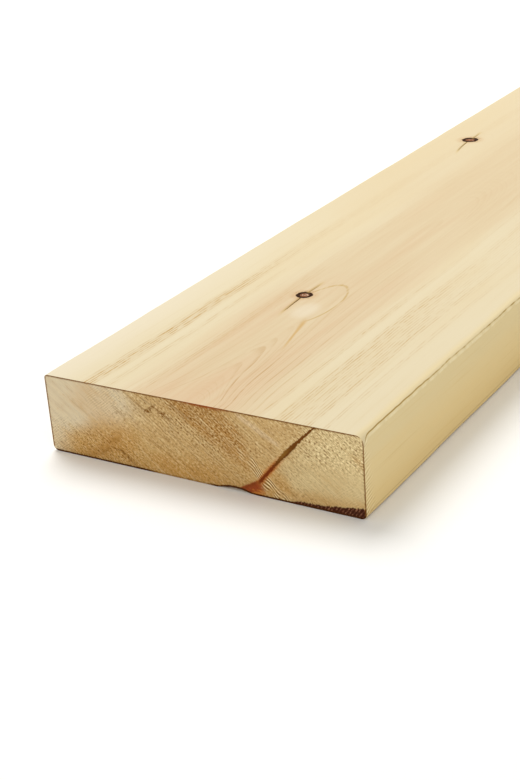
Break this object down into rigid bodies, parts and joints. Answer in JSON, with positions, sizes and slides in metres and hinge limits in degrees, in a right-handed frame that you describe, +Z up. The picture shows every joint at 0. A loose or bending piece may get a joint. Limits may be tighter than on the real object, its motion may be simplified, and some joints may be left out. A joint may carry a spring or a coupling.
{
  "type": "timber plank",
  "caption": "Sawn softwood plank of rectangular section with lightly rounded long edges, plain sawn ends and small knots, lying flat.",
  "frame": {"origin": "centre of the underside, on the floor", "axes": "+Y along the length, away from the end with the spike knot; +X across the width; +Z up through the thickness"},
  "size_m": [0.2, 2.4, 0.047],
  "materials": {
    "wood": "planed faces, sawn ends, matt"
  },
  "bodies": {
    "root": {"plank": "wood"}
  },
  "joints": []
}
